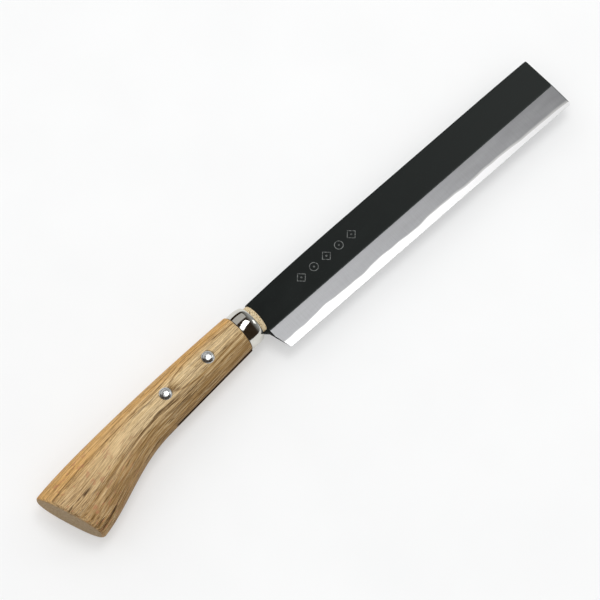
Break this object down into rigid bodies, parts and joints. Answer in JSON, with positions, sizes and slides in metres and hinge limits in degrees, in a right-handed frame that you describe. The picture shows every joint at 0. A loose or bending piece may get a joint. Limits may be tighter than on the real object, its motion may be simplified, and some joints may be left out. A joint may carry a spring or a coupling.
{
  "type": "hand sickle",
  "caption": "Straight-bladed hand sickle: forged rectangular blade with a ground bevel, plated ferrule, riveted wooden handle with a flared butt.",
  "frame": {"origin": "under the middle of the bounding box, at the height of the lower rivet heads", "axes": "+X from the butt to the tip, along the handle's front part and the blade; +Y towards the spine; +Z square to the blade's flats, out of the face with the front rivet halves' solid heads"},
  "size_m": [0.3644, 0.0462, 0.0253],
  "materials": {
    "hard_steel": "ground and honed",
    "forge_scale_iron": "black forge scale with a satin ground bevel",
    "oak": "bare planed oak",
    "nickel_plate": "bright plate",
    "polished_rivet": "polished"
  },
  "bodies": {
    "root": {"blade_core": "hard_steel", "blade_cladding_upper": "forge_scale_iron", "blade_cladding_lower": "forge_scale_iron", "handle": "oak", "ferrule": "nickel_plate", "rivet_front_male": "polished_rivet", "rivet_front_female": "polished_rivet", "rivet_rear_male": "polished_rivet", "rivet_rear_female": "polished_rivet"}
  },
  "joints": []
}
